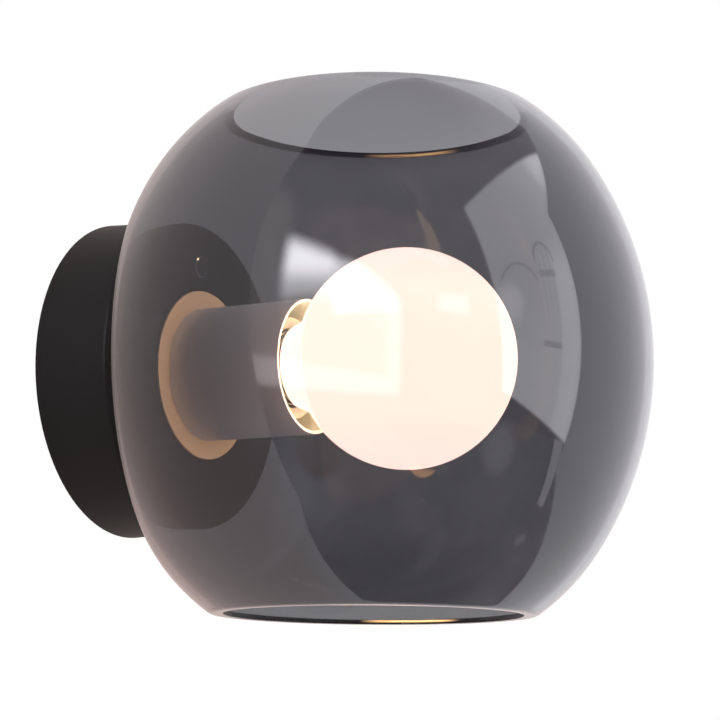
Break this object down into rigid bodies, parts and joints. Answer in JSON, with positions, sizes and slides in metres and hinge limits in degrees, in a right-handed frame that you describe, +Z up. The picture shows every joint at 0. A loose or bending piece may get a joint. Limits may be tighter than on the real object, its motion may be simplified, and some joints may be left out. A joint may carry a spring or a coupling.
{
  "type": "globe wall sconce",
  "caption": "Wall light: round canopy with a short arm tube and a lamp holder, an opal globe bulb and a smoked glass globe shade open at top and bottom.",
  "frame": {"origin": "middle of the wall plate's back face, between its two screw slots, on the arm's axis and in the plane of the wall", "axes": "+Y into the wall, so the lamp stands out along -Y; +Z up; X to the side"},
  "size_m": [0.201, 0.2082, 0.184],
  "materials": {
    "zinc_steel": "zinc plated, satin",
    "black_rubber": "matt",
    "block_plastic": "moulded, off-white",
    "brass": "plain",
    "black_coat": "fine satin black coat",
    "black_screw": "semi-gloss black",
    "silicone": "translucent silicone",
    "smoked_glass": "gloss, smoke grey, see-through",
    "ring_metal": "satin",
    "tube_metal": "satin grey",
    "holder_plastic": "moulded, black",
    "shell_metal": "plain sheet",
    "brown_lead": "brown insulation",
    "blue_lead": "blue insulation",
    "earth_lead": "green and yellow insulation",
    "opal_glass": "opal, warm white when lit",
    "cap_metal": "nickel plated",
    "insulator": "black vitrite",
    "clear_glass": "clear",
    "phosphor": "silicone with phosphor",
    "board_plastic": "white circuit board"
  },
  "bodies": {
    "base": {"wall_plate": "zinc_steel", "plate_stud": "zinc_steel", "cable_grommet": "black_rubber", "terminal_block": "block_plastic", "terminal_inserts": "brass", "terminal_screws": "zinc_steel", "block_screw": "zinc_steel", "plate_earth_tab": "brass", "earth_screw": "brass", "canopy": "black_coat", "canopy_screw": "black_screw", "threaded_nipple": "zinc_steel", "lock_washer": "zinc_steel", "nipple_earth_tab": "brass", "nipple_nut": "zinc_steel", "neck_collar": "zinc_steel", "rear_gasket": "silicone", "globe_shade": "smoked_glass", "front_gasket": "silicone", "holder_back": "holder_plastic", "holder_front": "holder_plastic", "holder_posts": "brass", "holder_shell": "shell_metal", "centre_contact": "brass", "side_contact": "brass", "live_lead": "brown_lead", "neutral_lead": "blue_lead", "earth_wire": "earth_lead"},
    "clamp_ring": {"shade_ring": "ring_metal"},
    "tube": {"arm_tube": "tube_metal"},
    "bulb_end": {"bulb_insulator": "insulator", "bulb_tip": "brass"},
    "bulb": {"bulb_glass": "opal_glass", "bulb_cap": "cap_metal", "bulb_stem": "clear_glass", "led_filaments": "phosphor", "filament_spiders": "shell_metal", "driver_board": "board_plastic"}
  },
  "joints": [
    {"name": "ring_slide", "type": "slide", "parent": "base", "child": "clamp_ring", "axis": [0, -1, 0], "range_m": [0, 0.0046]},
    {"name": "tube_turn", "type": "hinge", "parent": "clamp_ring", "child": "tube", "pos_m": [0, -0.0345, 0], "axis": [0, -1, 0], "range_deg": [0, 1080]},
    {"name": "bulb_slide", "type": "slide", "parent": "base", "child": "bulb_end", "axis": [0, -1, 0], "range_m": [0, 0.022]},
    {"name": "bulb_turn", "type": "hinge", "parent": "bulb_end", "child": "bulb", "pos_m": [0, -0.0736, 0], "axis": [0, -1, 0], "range_deg": [0, 2160]}
  ],
  "couplings": [
    {"joint": "ring_slide", "follows": "tube_turn", "m_per_rad": 0.00023873},
    {"joint": "bulb_slide", "follows": "bulb_turn", "m_per_rad": 0.00057757}
  ]
}
